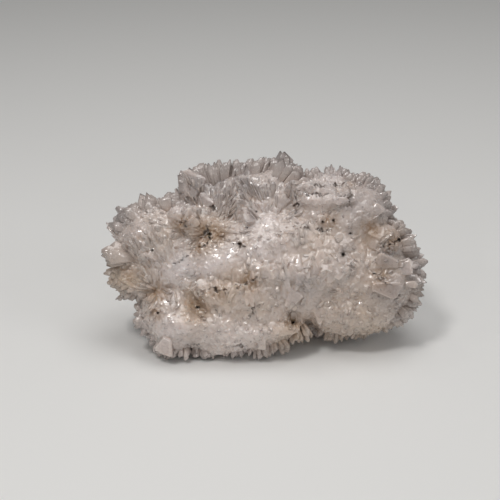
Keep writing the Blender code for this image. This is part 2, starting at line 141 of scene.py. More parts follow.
FOOT_FANS = (
    Fan(38.2, -34.1, -14, -82, 0, 9.5, 44, 9, 10, 1.8, 1.1, 55),  # hem lobe
    Fan(27.8, -35.2, -13, -98, 0, 10.5, 50, 9, 10, 1.8, 1.1, 55),  # hem point
    Fan(14, -35.4, -8, -80, 0, 10, 44, 9, 10, 1.8, 1.1, 55),  # hem step
    Fan(5.8, -40.6, -8, -72, 0, 10, 42, 8, 9, 1.8, 1.1, 55),  # hem slope
    Fan(-3.1, -41.2, -6, -90, 0, 9, 36, 6, 7, 1.8, 1.1, 55),  # hem tooth
    Fan(-14, -41, -7, -92, 0, 8, 46, 12, 13, 1.8, 1.1, 55),  # front hem
    Fan(-25.7, -41.4, -7, -94, 0, 8, 40, 9, 10, 1.8, 1.1, 55),  # left hem
    Fan(-35.3, -43.4, -6, -98, 0, 9, 44, 7, 9, 2.2, 1.2, 45),  # lowest
    Fan(-42.9, -40.4, -7, -112, 0, 9, 40, 5, 7, 2.2, 1.2, 45),  # flat corner
)
LEFT_FANS = (
    Fan(-48.5, -34.1, -8, -140, 0, 13, 30, 8, 9, 2.6, 1.3, 25),  # left saw
    Fan(-53.8, -27.2, -6, -168, 0, 14, 18, 4, 5, 3, 1.4, 15),  # left spur
    Fan(-54.1, -21.5, -10, 176, 0, 12, 22, 4, 6, 2.6, 1.3, 30),  # left notch
    Fan(-58.8, -15.1, -7, -130, 0, 14, 46, 9, 11, 2.8, 1.3, 20),  # flank hem
    Fan(-65.8, -6.5, -9, -172, 0, 15, 36, 7, 11, 2.3, 1.2, 36),  # flank saw
    Fan(-66.2, 1.4, -3, 176, 4, 18, 16, 3, 4, 4.2, 1.5, 10),  # far left
    Fan(-59.8, 5.9, -6, 150, 0, 13, 26, 4, 6, 2.6, 1.2, 25),  # above flank
    Fan(-59, 11.7, -11, 182, 0, 12, 24, 5, 7, 2.2, 1.2, 35),  # shoulder steps
    Fan(-62.8, 16.6, -6, 160, 0, 18, 16, 3, 4, 3.6, 1.3, 8),  # shoulder blade
    Fan(-58.3, 20.4, -6, 140, 0, 18, 18, 4, 6, 3.2, 1.3, 14),  # shoulder fan
    Fan(-53.7, 22.3, -7, 124, 0, 16, 16, 4, 6, 2.5, 1.2, 34),  # shoulder comb
    Fan(-49.5, 26.1, -6, 112, 0, 17, 12, 2, 3, 4, 1.4, 12, 1),  # shoulder point
    Fan(-45.4, 24, -8, 98, 0, 13, 26, 6, 8, 2.1, 1.2, 46),  # shoulder saw
    Fan(-38.2, 27.2, -4, 92, 0, 12, 10, 4, 4, 3.8, 1.3, 10),  # shoulder slab
    Fan(-30.7, 22.4, -1, 70, 5, 9.5, 44, 7, 8, 2.6, 1.3, 20),  # shoulder end
)

# A spray is a part of the surface whose crystals grow away from one point. lean tips them out of the
# surface and stand is how far their ends reach above it. stray is how far they leave the spray's
# direction, and roll turns blades from flat (0) to edge-on (90). druse is how thickly small fused crystals
# cover it, and cover the same for free ones. A level spray has short blades that lie level across the face.
Spray = namedtuple(
    "Spray", "u v w lean width thick length stand stray roll druse cover level", defaults=(False,)
)
SPRAYS = (
    Spray(-36.5, -9, -1, 0.13, 2.2, 1.0, 9, 0.34, 0.07, 28, 0.6, 0.6),  # left shoulder
    Spray(-44, -13, -2, 0.13, 2.4, 1.1, 8, 0.34, 0.08, 26, 0.5, 0.5),  # left flank
    Spray(-31, -20, -7, 0.20, 2.2, 1.2, 6, 0.36, 0.14, 30, 0.7, 0.5),  # left foot
    Spray(-22, 0, -3, 0.14, 1.9, 0.9, 7, 0.28, 0.12, 32, 0.8, 0.8),  # white patch
    Spray(-22, 9, -2, 0.13, 2.4, 1.1, 9, 0.36, 0.07, 26, 0.6, 0.6),  # left crown
    Spray(2, 12, -3, 0.13, 2.4, 1.1, 9, 0.38, 0.06, 28, 0.6, 0.6),  # crown
    Spray(28, 24, -4, 0.30, 2.2, 1.2, 7, 0.40, 0.10, 30, 0.6, 0.5),  # right comb
    Spray(40, 12, -3, 0.15, 4.0, 1.4, 9, 0.20, 0.08, 10, 0.3, 0.15),  # right shoulder
    Spray(43, -5, -3, 0.15, 3.8, 1.5, 9, 0.28, 0.08, 16, 0.35, 0.3),  # right flank
    Spray(41, -16, -4, 0.30, 2.4, 1.4, 6, 0.42, 0.15, 28, 0.8, 0.6),  # right foot
    Spray(-8, -22, -2, 0.30, 2.5, 1.3, 6, 0.40, 0.15, 25, 0.7, 0.6),  # front foot
    Spray(16, -4, 5, 0.10, 4.2, 1.0, 6, 0.12, 0.08, 8, 0.3, 0.15, True),  # middle
    Spray(-14, -14, 5, 0.12, 3.6, 1.0, 6, 0.16, 0.10, 10, 0.35, 0.2, True),  # belly
    Spray(-24, 2, -34, 0.30, 4.0, 1.3, 9, 1.3, 0.16, 30, 0.5, 0.7),  # back left
    Spray(28, 0, -36, 0.30, 4.0, 1.3, 9, 1.3, 0.16, 30, 0.5, 0.7),  # back right
    Spray(6, 18, -32, 0.30, 3.8, 1.3, 9, 1.3, 0.16, 30, 0.5, 0.7),  # back top
    Spray(2, -20, -38, 0.40, 3.8, 1.4, 8, 1.2, 0.18, 30, 0.5, 0.7),  # heel
    Spray(-47, 4, -16, 0.30, 3.4, 1.2, 8, 1.5, 0.16, 30, 0.6, 0.8),  # far left
    Spray(-36, -24, -17, 0.30, 3.4, 1.2, 8, 1.4, 0.16, 30, 0.6, 0.8),  # left heel
    Spray(46, -6, -18, 0.30, 3.4, 1.2, 8, 1.5, 0.16, 30, 0.6, 0.8),  # far right
    Spray(34, -22, -18, 0.30, 3.4, 1.2, 8, 1.4, 0.16, 30, 0.6, 0.8),  # right heel
    Spray(-12, 24, -20, 0.30, 3.2, 1.2, 8, 1.6, 0.14, 30, 0.6, 0.8),  # behind crown
    Spray(36, 18, -20, 0.30, 3.4, 1.2, 8, 1.5, 0.16, 30, 0.6, 0.8),  # behind shoulder
)

# Sprays whose middle lies deeper than this belong to the back.
BACK_BEGINS = -10
FRONT_SPRAYS = [spray for spray in SPRAYS if spray.w > BACK_BEGINS]
BACK_SPRAYS = [spray for spray in SPRAYS if spray.w < BACK_BEGINS]

# Where the face is smooth and its crystals hardly stand out, as (u, v, spread, how calm).
CALM = (
    (41, 24, 9, 0.9),
    (30, 18, 6, 0.6),
    (10, -15, 8, 0.7),
    (49, -14, 5, 0.8),
    (-29, 30, 8, 1),
    (-41, -35, 4, 0.8),
    (-12, -18, 7, 0.5),
    (16, -1, 14, 0.85),
    (-10, 1, 8, 0.4),
)

# Behind this the surface isn't calm.
CALM_ENDS = -20

# Single large crystals that show, lying about flat in the face. (u, v) is the tip, heading its direction,
# and lift how far it stands above the surface, or above w = -13 where it reaches past the body.
Plate = namedtuple("Plate", "u v heading toward width thick length roll lift")
PAST_BODY = -13
PLATES = (
    Plate(-28.5, 35.5, 78, 0, 10.5, 2.2, 11, 6, 2.2),
    Plate(-23, 25.5, 62, 5, 7.5, 2, 8, -10, 1.6),
    Plate(-38.5, 26.6, 100, 10, 4.6, 1.5, 8, 6, 1),
    Plate(-41.5, -39, -108, -38, 8, 2, 9, 10, 0.6),
    Plate(-28.5, 19.5, 60, 12, 5.5, 1.8, 9, 30, 1.4),
    Plate(-30, 20.5, 95, 10, 5.5, 1.8, 9, 35, 1.4),
    Plate(-26.8, 15, 20, 10, 5, 1.8, 8, 30, 1.2),
    Plate(59.5, -3, 20, 4, 6.5, 2, 9, -10, 1.5),
    Plate(54, -13.5, -10, 2, 7.5, 2, 12, 8, 1.3),
    Plate(47, 21, 40, -6, 5, 1.6, 7, 6, -0.1),
    Plate(44, -1, 170, 4, 7, 2, 9, -8, 1),
    Plate(61, -10.8, -3, 8, 3.2, 1.6, 8, 24, 0.8),
    Plate(20, 27.5, 170, 5, 3.4, 1.4, 8, 12, 0.6),
    Plate(27, 22.5, 186, 3, 3.6, 1.4, 9, 6, 0.5),
    Plate(13, -12, 60, 6, 7, 2, 9, 10, 0.5),
    Plate(-2, -37, -100, -38, 4, 1.6, 7, 10, 0.2),
)

# Small open holes in the face, as (u, v, width).
PITS = (
    (-45.3, 3.1, 1.3),
    (-7.5, 12, 1.2),
    (-4, 18.6, 1.2),
    (-43.2, -22, 1.5),
    (-27.4, -19.9, 1.4),
    (11, -25.8, 2.2),
    (30.8, 1.4, 2.2),
    (22.6, 14.4, 1.6),
    (26.9, 15, 1.4),
    (34, 9.8, 1.3),
    (54.2, 7.3, 2.6),
)
PIT_DEPTH = 3.0

# Cracks between grown-together crystals, as (start u, start v, end u, end v, width).
CRACKS = (
    (-24.8, 13, -22.2, 7.5, 2.4),
    (-22.4, 7.7, -26.1, 3, 1.8),
    (-34.3, 14.5, -30.3, 12.2, 1.8),
    (-22.6, 20.4, -19.6, 20, 1.4),
    (-12.8, 5.8, -7.6, 4.6, 1.8),
    (18.4, 28.7, 26, 29.3, 1.1),
    (26, 29.3, 33.4, 30.4, 1.1),
    (14.2, 25.6, 25, 25.2, 1),
    (33.4, 30, 33.6, 20, 1.2),
    (11, 12.4, 19, 11.2, 1.1),
    (19, 11.2, 27.2, 10.8, 1),
    (46.5, 4.8, 53.6, 7.2, 1.9),
    (41.4, -4.6, 49.3, -11.3, 1.3),
    (-23, -12, -14.6, -13.3, 1.2),
    (-12.4, -11.6, -3, -8, 1.2),
    (-6.1, -23.4, -5.4, -19.2, 1.1),
    (-5.4, -20.6, -3, -18.9, 0.9),
    (-36.8, -2.9, -31.4, 1.2, 1.3),
    (-13.4, -35.4, -8, -35.2, 1.4),
    (11.2, 25.8, 13.2, 17, 1.1),
    (-31.8, -34.6, -25.6, -35.8, 1),
    (-21, -19.4, -18.6, -23, 1),
)
CRACK_DEPTH = 2.2
# Behind this there is neither a crack nor a pit.
HOLES_END = -16

# How far out of the face the front of the body meets its back.
SPLIT_AT = -15.0
# How far each half of the body reaches past that place.
OVERLAP = 0.5
# Edge of the blocks that cut the body, in metres. It is larger than the cluster.
BLOCK = 0.4
# The face's colours fade out over this depth and end at this place behind it.
ZONE_FADE = 8
ZONE_END = -24
# How much whiter the back is painted: painted light against the shade that falls on it.
BACK_PAINTED_LIGHT = 0.6

# Iron stains in the hollows of the face, as (u, v, spread, strength).
STAINS = (
    (-33, 13.5, 4.5, 0.9),
    (-24, 10, 5, 1),
    (-19.5, 9.5, 4.5, 0.9),
    (-25.5, 4, 4, 1),
    (-9, 5.5, 3.5, 0.5),
    (-7, -9, 5, 0.9),
    (-19, -12.6, 5, 0.7),
    (-44, -15, 5, 0.8),
    (-44, -22, 3, 0.8),
    (42, 12, 4, 0.8),
    (25, 14.4, 3.5, 0.9),
    (11, -25.6, 3.5, 0.9),
    (45.5, -7.5, 5, 0.8),
    (51, 6.5, 4.5, 0.8),
    (48, -13, 9, 0.2),
    (-27, -19.5, 4, 0.7),
    (-54, -8, 4, 0.5),
    (34, 30, 4, 0.4),
)

# Where the crust is beige rather than white, as (u, v, spread, strength).
WARM = (
    (-10, -16, 13, 0.8),
    (-28, -18, 9, 0.9),
    (-57, -9, 11, 1),
    (-10, -41, 14, 0.6),
    (40, -29, 18, 1),
    (15, -33, 13, 0.9),
    (46, 4, 11, 0.9),
    (-40, 8, 9, 0.6),
    (24, 6, 9, 0.5),
    (-24, 8, 9, 0.8),
    (58, -18, 10, 0.6),
    (30, -33, 10, 1),
)

# Where the mineral is painted grey: partly the grey of clear crystal, partly painted shade where less light
# falls, as on the crown, as (u, v, spread, strength).
GREY_AND_SHADE_SPOTS = (
    (-24, 32, 12, 1),
    (-8, 31, 10, 0.9),
    (7, 41, 8, 1),
    (8, 30, 8, 0.6),
    (43, 22, 14, 1),
    (-62, 18, 7, 0.8),
    (-46, 10, 12, 0.45),
    (50, -15, 11, 1),
    (50, 0, 12, 1),
    (58, -4, 9, 0.9),
    (35, -30, 12, 0.4),
    (14, -12, 8, 0.6),
    (31, 2, 9, 0.5),
)

# Where the crystals are whitest, as (u, v, spread, strength).
FRESH = (
    (-22, 0, 9, 1),
    (-33, -4, 8, 0.8),
    (-3, 15, 8, 0.45),
    (28, 34, 10, 0.4),
    (-12, -35, 12, 0.8),
    (-36, -27, 7, 0.6),
    (-6, 3, 8, 0.6),
    (58, -24, 8, 0.6),
    (-34, 17, 4, 0.8),
)


def length_setting(name, description, millimetres):
    return bpy.props.FloatProperty(
        name=name, description=description, default=millimetres * MM, unit="LENGTH"
    )


def colour_setting(name, description, colour):
    return bpy.props.FloatVectorProperty(
        name=name, description=description, default=colour, subtype="COLOR", size=3
    )


class BariteShape(bpy.types.PropertyGroup):
    """Sizes of the massive middle and of the crystals on it."""

    voxel: length_setting("Finest detail", "Size of the smallest forms of the body", 0.36)
    spacing: length_setting("Body spacing", "Least distance between crystals fused in the body", 1.9)
    druse_spacing: length_setting("Druse spacing", "Least distance between the smallest crystals", 1.25)
    free_spacing: length_setting("Free spacing", "Least distance between crystals that stand free", 1.8)
    front_faces: bpy.props.IntProperty(
        name="Front faces", description="Number of triangles in the body's front", default=190000
    )
    back_faces: bpy.props.IntProperty(
        name="Back faces", description="Number of triangles in the body's back", default=110000
    )
    seed: bpy.props.IntProperty(name="Seed", description="Picks one of many like clusters", default=7)


class BariteFinish(bpy.types.PropertyGroup):
    """Colours of the mineral, with the painted shade and painted light laid on it."""

    milk: colour_setting("Milk white", "Colour of the massive mineral", (0.69, 0.595, 0.55))
    # The whitest crystal's colour, also laid over the back as painted light.
    white_and_painted_light: colour_setting("Fresh white", "Colour of the youngest, whitest crystal", (0.90, 0.83, 0.83))
    # The grey of clear crystal, also laid on the face as painted shade where less light falls.
    grey_and_shade: colour_setting("Cool grey", "Colour where thin crystal lets light through", (0.41, 0.365, 0.355))
    warm: colour_setting("Warm beige", "Colour of the older crust", (0.72, 0.56, 0.42))
    stain: colour_setting("Iron stain", "Colour of iron in the hollows", (0.30, 0.17, 0.075))
    # Painted shade with a brown iron tint, deep in the cracks and the pits.
    crevice_shade_and_stain: colour_setting("Crevices", "Colour deep in the cracks and the pits", (0.055, 0.03, 0.015))


class BariteStage(bpy.types.PropertyGroup):
    """The studio."""

    floor_colour: colour_setting("Floor", "Colour of the pale floor", (0.82, 0.82, 0.81))
    key_power: bpy.props.FloatProperty(
        name="Key light", description="Power of the main soft light", default=2.6, unit="POWER"
    )


def deselect_all():
    if bpy.context.object and bpy.context.object.mode != "OBJECT":
        bpy.ops.object.mode_set(mode="OBJECT")
    bpy.ops.object.select_all(action="DESELECT")


def make_active(obj):
    deselect_all()
    obj.select_set(True)
    bpy.context.view_layer.objects.active = obj


def apply_modifiers(obj):
    make_active(obj)
    for name in [m.name for m in obj.modifiers]:
        bpy.ops.object.modifier_apply(modifier=name)


def select_faces(obj, wanted):
    """In edit mode, leaves selected only the faces for which wanted(face) holds."""
    mesh = bmesh.from_edit_mesh(obj.data)
    bpy.ops.mesh.select_mode(type="FACE")
    for face in mesh.faces:
        face.select_set(wanted(face))
    mesh.select_flush_mode()
    bmesh.update_edit_mesh(obj.data)


def select_long_edges(obj):
    """In edit mode, leaves selected only the edges that run along the crystal."""
    mesh = bmesh.from_edit_mesh(obj.data)
    bpy.ops.mesh.select_mode(type="EDGE")
    for edge in mesh.edges:
        run = edge.verts[1].co - edge.verts[0].co
        edge.select_set(abs(run.z) > 0.6 * run.length and run.length > 0.3)
    bmesh.update_edit_mesh(obj.data)


def model_crystal(name, wide, thick, shoulder, point, slant, step):
    """One tabular crystal of length 1 along +Z, root at the origin, with a chisel end.

    shoulder is how long its bevelled end is, point how far that end narrows, and slant tips the end to one
    side. A step lets half of the blade end lower than the rest.
    """
    deselect_all()
    bpy.ops.mesh.primitive_cube_add(size=1, location=(0, 0, (1 - shoulder) / 2))
    crystal = bpy.context.object
    crystal.name = name
    crystal.scale = (wide, thick, 1 - shoulder)
    bpy.ops.object.transform_apply(location=True, rotation=False, scale=True)
    bpy.ops.object.mode_set(mode="EDIT")
    select_faces(crystal, lambda f: f.normal.z < -0.9)
    bpy.ops.transform.resize(value=(0.45, 0.7, 1), center_override=(0, 0, 0))
    if step:
        bpy.ops.mesh.select_all(action="SELECT")
        bpy.ops.mesh.bisect(plane_co=(0.12 * wide, 0, 0), plane_no=(1, 0, 0))
        select_faces(crystal, lambda f: f.normal.z > 0.9 and f.calc_center_median().x > 0.12 * wide)
        bpy.ops.transform.translate(value=(0, 0, -step))
        select_faces(crystal, lambda f: f.normal.z > 0.9)
    else:
        select_faces(crystal, lambda f: f.normal.z > 0.9)
    bpy.ops.mesh.extrude_region_move(TRANSFORM_OT_translate={"value": (slant * wide, 0, shoulder)})
    bpy.ops.transform.resize(value=(1 - point, 0.35, 1), center_override=(slant * wide, 0, 1))
    select_long_edges(crystal)
    bpy.ops.mesh.bevel(offset=0.22 * thick, segments=1, affect="EDGES")
    bpy.ops.mesh.select_all(action="SELECT")
    bpy.ops.mesh.remove_doubles(threshold=0.0005)
    bpy.ops.mesh.normals_make_consistent(inside=False)
    bpy.ops.object.mode_set(mode="OBJECT")
    return crystal


# The crystals that are modelled once, each as (name, wide, thick, shoulder, point, slant, step).
CRYSTALS = (
    ("blade", 0.46, 0.16, 0.16, 0.72, 0.0, 0.0),
    ("slanted_blade", 0.44, 0.15, 0.17, 0.66, 0.16, 0.0),
    ("stepped_blade", 0.50, 0.16, 0.12, 0.50, 0.0, 0.12),
    ("spear", 0.46, 0.17, 0.26, 0.94, 0.0, 0.0),
    ("block", 0.40, 0.24, 0.10, 0.45, 0.0, 0.0),
)
# Where the spear stands in that list.
SPEAR = 3


def crystal_shapes():
    """Models each crystal once. Gives their corners and faces, with width and thickness brought to 1."""
    shapes = []
    for name, wide, thick, shoulder, point, slant, step in CRYSTALS:
        crystal = model_crystal(name, wide, thick, shoulder, point, slant, step)
        corners = np.array([v.co[:] for v in crystal.data.vertices]) / (wide, thick, 1)
        faces = [tuple(p.vertices) for p in crystal.data.polygons]
        shapes.append((corners, faces))
        bpy.data.objects.remove(crystal)
    return shapes


Place = namedtuple("Place", "shape end along across width thick length gloss")


def joined_crystals(name, places, shapes):
    """All the crystals of one piece as one mesh in the face frame, with values for the material."""
    corners = []
    values = {"along": [], "gloss": []}
    sizes = []
    loops = []
    offset = 0
    for kind, (shape, faces) in enumerate(shapes):
        chosen = [p for p in places if p.shape == kind]
        if not chosen:
            continue
        z = np.array([p.along for p in chosen])
        x = np.array([p.across for p in chosen])
        y = np.cross(z, x)
        end = np.array([p.end for p in chosen])
        size = np.array([(p.width, p.thick, p.length) for p in chosen])
        local = shape[None] * size[:, None]
        local[:, :, 2] -= size[:, None, 2]
        made = (
            local[:, :, 0:1] * x[:, None]
            + local[:, :, 1:2] * y[:, None]
            + local[:, :, 2:3] * z[:, None]
            + end[:, None]
        )
        corners.append(made.reshape(-1, 3))
        values["along"].append(np.tile(shape[:, 2], len(chosen)))
        values["gloss"].append(np.repeat([p.gloss for p in chosen], len(shape)))
        face_sizes = np.array([len(f) for f in faces])
        face_loops = np.concatenate([np.array(f) for f in faces])
        sizes.append(np.tile(face_sizes, len(chosen)))
        bases = offset + np.arange(len(chosen)) * len(shape)
        loops.append((face_loops[None] + bases[:, None]).reshape(-1))
        offset += len(chosen) * len(shape)
    corners = np.concatenate(corners)
    sizes = np.concatenate(sizes)
    loops = np.concatenate(loops)
    starts = np.concatenate(([0], np.cumsum(sizes)[:-1]))
    mesh = bpy.data.meshes.new(name)
    mesh.vertices.add(len(corners))
    mesh.vertices.foreach_set("co", (corners * MM).astype(np.float32).ravel())
    mesh.loops.add(len(loops))
    mesh.loops.foreach_set("vertex_index", loops.astype(np.int32))
    mesh.polygons.add(len(sizes))
    mesh.polygons.foreach_set("loop_start", starts.astype(np.int32))
    mesh.update(calc_edges=True)
    mesh.validate()
    for key, parts in values.items():
        add_value(mesh, key, np.concatenate(parts))
    piece = bpy.data.objects.new(name, mesh)
    bpy.context.scene.collection.objects.link(piece)
    return piece


# How far above the floor every free crystal keeps.
FLOOR_GAP = 0.2


def above_floor(places):
    """Only the crystals that lie wholly above the floor."""
    kept = []
    for place in places:
        end = Vector(place.end)
        root = end - Vector(place.along) * place.length
        side = Vector(place.across) * place.width * 0.5
        ends = (end + side, end - side, root + side, root - side)
        if min((FACE_TO_ROW @ (corner * MM)).z for corner in ends) > FLOOR_GAP * MM:
            kept.append(place)
    return kept


def add_value(mesh, name, values):
    layer = mesh.attributes.new(name, "FLOAT", "POINT")
    layer.data.foreach_set("value", np.asarray(values, dtype=np.float32))


def read_vectors(mesh, key):
    """The places or normals of a mesh's corners as one array."""
    found = np.empty(len(mesh.vertices) * 3, dtype=np.float32)
    mesh.vertices.foreach_get(key, found)
    return found.reshape(-1, 3).astype(float)


def spot_values(places, spots):
    """How strong the strongest of some soft spots on the face is at each place, from 0 to 1."""
    value = np.zeros(len(places))
    for u, v, spread, strength in spots:
        away = (places[:, 0] - u) ** 2 + (places[:, 1] - v) ** 2
        value = np.maximum(value, strength * np.exp(-away / spread ** 2))
    return value * np.clip((places[:, 2] - ZONE_END) / ZONE_FADE, 0, 1)


def wander(u, v):
    """How far a crack strays from its straight line at (u, v)."""
    return (
        0.7 * np.sin(1.3 * u + 0.9 * v) + 0.35 * np.sin(3.1 * v - 2.3 * u),
        0.6 * np.sin(1.1 * u - 1.7 * v + 1.0) + 0.35 * np.sin(3.7 * u + 1.9 * v),
    )


def gap_values(places):
    """How near the places are to the open cracks and pits of the face, 1 at their middle and 0 off them."""
    value = np.zeros(len(places))
    strays = np.stack(wander(places[:, 0], places[:, 1]), 1)
    for u, v, width in PITS:
        away = np.linalg.norm(places[:, :2] + 0.5 * strays - (u, v), axis=1)
        value = np.maximum(value, np.clip(1.8 - away / (0.38 * width), 0, 1))
    for u0, v0, u1, v1, width in CRACKS:
        start = np.array((u0, v0))
        run = np.array((u1 - u0, v1 - v0))
        share = (places[:, :2] + strays - start) @ run / (run @ run)
        on_line = start + np.clip(share, 0, 1)[:, None] * run
        away = np.linalg.norm(places[:, :2] + strays - on_line, axis=1)
        half = 0.4 * width * np.clip(1.2 - 2.0 * abs(share - 0.5), 0.1, 1)
        value = np.maximum(value, np.clip(1.6 - away / half, 0, 1))
    return value * (places[:, 2] > PAST_BODY)


def add_zones(mesh):
    """Stores how the mineral's colour varies, with its painted shade and painted light, over a mesh that is
    still in the face frame.
    """
    places = read_vectors(mesh, "co") / MM
    add_value(mesh, "gap", gap_values(places))
    for key, spots in (("stain", STAINS), ("warm", WARM), ("grey_and_shade", GREY_AND_SHADE_SPOTS), ("white_and_painted_light", FRESH)):
        value = spot_values(places, spots)
        if key == "white_and_painted_light":
            # Painted light: the back, which lies in shade, is painted whiter.
            behind = np.clip((SPLIT_AT - places[:, 2]) / ZONE_FADE, 0, 1)
            value = np.maximum(value, BACK_PAINTED_LIGHT * behind)
        add_value(mesh, key, value)


def rotation(degrees, axis):
    return Matrix.Rotation(math.radians(degrees), 3, axis)


def directions(heading, toward):
    """For angles in degrees: the way out in the face, the same tipped toward the viewer, the way across."""
    heading = math.radians(heading)
    toward = math.radians(toward)
    out = Vector((math.cos(heading), math.sin(heading), 0))
    along = out * math.cos(toward) + Vector((0, 0, math.sin(toward)))
    return out, along, Vector((math.sin(heading), -math.cos(heading), 0))


def random_vector(dice):
    return Vector((dice.gauss(0, 1), dice.gauss(0, 1), dice.gauss(0, 1)))


# How far, in degrees, the crystals stray in a fan that comes to a point, and in any other.
POINTED_STRAY = 0.5
FAN_STRAY = 4


def fan_places(fans, dice):
    """The crystals of the edge fans, in three layers one behind another."""
    places = []
    for fan in fans:
        _, along, across = directions(fan.heading, fan.toward)
        normal = across.cross(along)
        root = Vector((fan.u, fan.v, fan.w)) - along * fan.reach
        loose = POINTED_STRAY if fan.point else FAN_STRAY
        for layer in (-1, 0, 1):
            count = max(1, round(fan.count * (0.75 if layer == 0 else 0.6)))
            for k in range(count):
                share = (k + 0.5 + dice.uniform(-0.3, 0.3)) / count - 0.5
                turn = rotation(dice.gauss(0, loose) - share * fan.spread, normal)
                way = turn @ along
                side = turn @ across
                way = rotation(layer * 7 + dice.gauss(0, 1.2 * loose), side) @ way
                shorter = abs(layer) * dice.uniform(0.6, 3.4)
                reach = fan.reach * dice.uniform(0.93, 1.03) - shorter
                beside = side * share * fan.across * 0.6
                end = root + beside + way * reach + normal * layer * fan.thick * 0.8
                side = rotation(0.5 * fan.roll + dice.gauss(0, 16), way) @ side
                shape = SPEAR if fan.point and layer == 0 else dice.choice((0, 0, 1, 1, 2, 3))
                places.append(
                    Place(
                        shape, end, way, side.normalized(), fan.width * dice.uniform(0.8, 1.5),
                        fan.thick * dice.uniform(0.9, 1.6), reach * dice.uniform(0.7, 0.95), dice.random(),
                    )
                )
    return places


def plate_places(surface, dice):
    """The single large crystals in the face."""
    places = []
    for plate in PLATES:
        out, along, side = directions(plate.heading, plate.toward)
        middle = Vector((plate.u, plate.v, 0)) - out * 0.5 * plate.length
        height = surface_height(surface, middle.x, middle.y)
        rise = 0.5 * plate.length * math.sin(math.radians(plate.toward))
        end = Vector((plate.u, plate.v, height + plate.lift + rise))
        side = rotation(plate.roll, along) @ side
        shape = dice.choice((0, 1, 2))
        places.append(
            Place(shape, end, along, side, plate.width, plate.thick, plate.length, dice.uniform(0.6, 1.0))
        )
    return places


def add_lump(lump):
    """One rounded lump of the body, in the face frame."""
    deselect_all()
    bpy.ops.mesh.primitive_ico_sphere_add(
        subdivisions=4,
        radius=MM,
        location=Vector((lump.u, lump.v, lump.w)) * MM,
        rotation=(0, 0, math.radians(lump.turn)),
        scale=(lump.ru, lump.rv, lump.rw),
    )
    return bpy.context.object


def add_relief(obj, name, kind, grain, height, stretch):
    """Raises and sinks the surface by procedural relief of that grain and height, drawn out by stretch."""
    texture = bpy.data.textures.new(name, kind)
    texture.noise_scale = grain * MM
    if kind == "CLOUDS":
        texture.noise_depth = 1
    deselect_all()
    bpy.ops.object.empty_add()
    guide = bpy.context.object
    guide.scale = stretch
    bpy.context.view_layer.update()
    relief = obj.modifiers.new(name, "DISPLACE")
    relief.texture = texture
    relief.texture_coords = "OBJECT"
    relief.texture_coords_object = guide
    relief.strength = height * MM
    relief.mid_level = 0.5
    apply_modifiers(obj)
    bpy.data.objects.remove(guide)


def join(objects, name):
    deselect_all()
    for obj in objects:
        obj.select_set(True)
    bpy.context.view_layer.objects.active = objects[0]
    bpy.ops.object.join()
    joined = bpy.context.object
    joined.name = name
    bpy.ops.object.transform_apply(location=True, rotation=True, scale=True)
    return joined


def fuse(obj, voxel, smoothing):
    """Makes one closed skin round everything in the object, with detail down to voxel."""
    skin = obj.modifiers.new("fuse", "REMESH")
    skin.mode = "VOXEL"
    skin.voxel_size = voxel
    blend = obj.modifiers.new("blend", "SMOOTH")
    blend.factor = 0.5
    blend.iterations = smoothing
    apply_modifiers(obj)


def model_lumps():
    """The rounded lumps of the body, fused and roughened, in the face frame."""
    body = join([add_lump(lump) for lump in LUMPS], "massive_body")
    fuse(body, 0.9 * MM, 12)
    add_relief(body, "swells", "CLOUDS", 11.0, 3.4, (1.0, 1.0, 1.0))
    add_relief(body, "ledges", "CLOUDS", 4.2, 0.9, (2.0, 1.0, 1.4))
    return body


def surface_of(obj):
    return BVHTree.FromObject(obj, bpy.context.evaluated_depsgraph_get())


def surface_height(surface, u, v):
    """How far out of the face the surface lies at (u, v)."""
    hit = surface.ray_cast(Vector((u, v, 90)) * MM, Vector((0, 0, -1)))[0]
    return hit.z / MM if hit else PAST_BODY


def pit_cutter(surface, u, v, width):
    """A narrow cone that goes in from the face."""
    deselect_all()
    bpy.ops.mesh.primitive_cone_add(
        vertices=9,
        radius1=0.1 * width * MM,
        radius2=0.8 * width * MM,
        depth=3 * PIT_DEPTH * MM,
        location=Vector((u, v, surface_height(surface, u, v) + 0.5 * PIT_DEPTH)) * MM,
    )
    return bpy.context.object


def crack_cutters(surface, crack, dice):
    """A broken chain of small splinters that go in from the face along a crack."""
    u0, v0, u1, v1, width = crack
    length = math.hypot(u1 - u0, v1 - v0)
    heading = math.atan2(v1 - v0, u1 - u0)
    made = []
    count = max(3, round(1.3 * length / width))
    for k in range(count):
        share = (k + 0.5) / count
        narrow = 1 - 1.1 * abs(share - 0.5)
        u = u0 + (u1 - u0) * share
        v = v0 + (v1 - v0) * share
        stray_u, stray_v = wander(u, v)
        u -= stray_u
        v -= stray_v
        deselect_all()
        wide = width * dice.uniform(0.6, 1.1)
        bpy.ops.mesh.primitive_cone_add(
            vertices=6,
            radius1=0.15 * MM,
            radius2=MM,
            depth=2 * MM,
            location=Vector((u, v, surface_height(surface, u, v) + 0.35 * CRACK_DEPTH)) * MM,
            rotation=(dice.gauss(0, 0.2), dice.gauss(0, 0.2), heading + dice.gauss(0, 0.3)),
            scale=(wide, wide * narrow * dice.uniform(0.45, 0.8), CRACK_DEPTH),
        )
        made.append(bpy.context.object)
    return made


def subtract(obj, cutters):
    cutter = join(cutters, "cutter")
    cut = obj.modifiers.new("cut", "BOOLEAN")
    cut.operation = "DIFFERENCE"
    cut.solver = "MANIFOLD"
    cut.object = cutter
    apply_modifiers(obj)
    bpy.data.objects.remove(cutter)


def stand_up(obj):
    """Moves an object from the face frame to the row frame, and its place into its mesh."""
    obj.matrix_world = FACE_TO_ROW
    make_active(obj)
    bpy.ops.object.transform_apply(location=True, rotation=True, scale=True)


def cut_floor(obj):
    """Cuts an object that is still in the face frame off level at the floor."""
    deselect_all()
    bpy.ops.mesh.primitive_cube_add(size=BLOCK)
    block = bpy.context.object
    block.matrix_world = FACE_TO_ROW.inverted() @ Matrix.Translation((0, 0, -0.5 * BLOCK))
    subtract(obj, [block])


